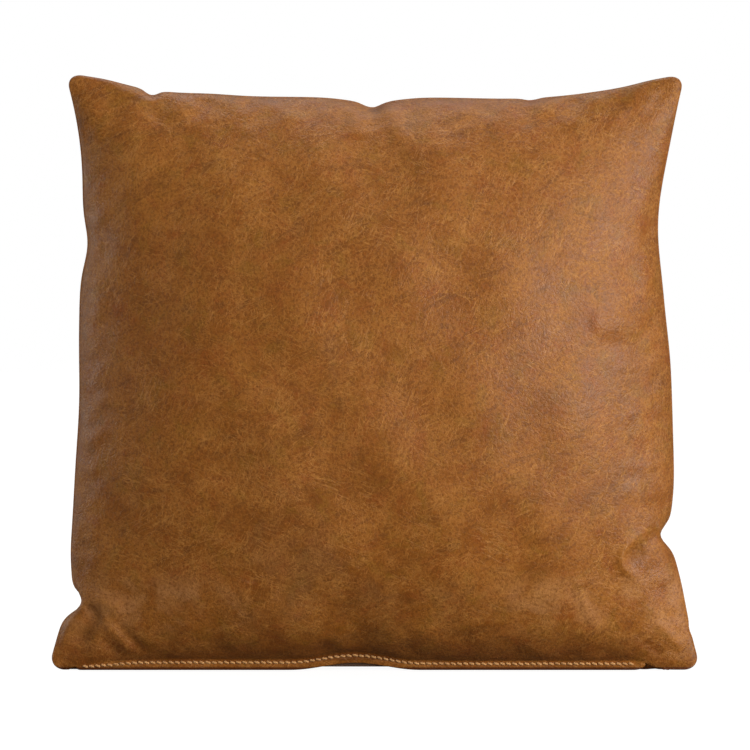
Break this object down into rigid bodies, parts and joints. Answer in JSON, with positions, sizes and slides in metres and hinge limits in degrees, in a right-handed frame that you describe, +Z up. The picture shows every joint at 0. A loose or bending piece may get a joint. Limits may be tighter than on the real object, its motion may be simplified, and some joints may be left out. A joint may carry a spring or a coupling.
{
  "type": "throw pillow",
  "caption": "Square knife-edge throw pillow: two leather panels, folded topstitched lips over a bottom zip, and a stuffed cotton insert inside.",
  "frame": {"origin": "on the surface that the pillow stands on, under the middle of its base", "axes": "+Z up, +X to the right along the bottom edge seen from the front, -Y towards the viewer of the front panel, +Y through the thickness towards the back panel"},
  "size_m": [0.4926, 0.165, 0.4527],
  "materials": {
    "leather": "satin",
    "tan_thread": "matte",
    "zip_tape": "matte",
    "zip_coil": "satin",
    "antique_brass": "satin",
    "ticking": "matte",
    "fibre_filling": "matte",
    "label_satin": "satin"
  },
  "bodies": {
    "pillow": {"front_panel": "leather", "back_panel": "leather", "seam_thread_top": "tan_thread", "seam_thread_left": "tan_thread", "seam_thread_right": "tan_thread", "seam_thread_bottom_left": "tan_thread", "seam_thread_bottom_right": "tan_thread", "topstitch_front": "tan_thread", "topstitch_back": "tan_thread", "care_label": "label_satin", "zip_tape_front": "zip_tape", "zip_coil_front": "zip_coil", "zip_top_stop_front": "antique_brass", "zip_tape_back": "zip_tape", "zip_coil_back": "zip_coil", "zip_top_stop_back": "antique_brass", "zip_bottom_stop": "antique_brass", "zip_tack_left": "tan_thread", "zip_tack_right": "tan_thread", "insert_front_panel": "ticking", "insert_back_panel": "ticking", "insert_seam_thread": "tan_thread", "insert_filling": "fibre_filling", "insert_label": "label_satin"},
    "zip_runner": {"zip_slider": "antique_brass"},
    "zip_pull": {"zip_pull_tab": "antique_brass"}
  },
  "joints": [
    {"name": "zip_slide", "type": "slide", "parent": "pillow", "child": "zip_runner", "axis": [-1, 0, 0], "range_m": [0, 0.3918]},
    {"name": "pull_swing", "type": "hinge", "parent": "zip_runner", "child": "zip_pull", "pos_m": [0.18543, 0, 0.0158], "axis": [0, -1, 0], "range_deg": [0, 180]}
  ]
}
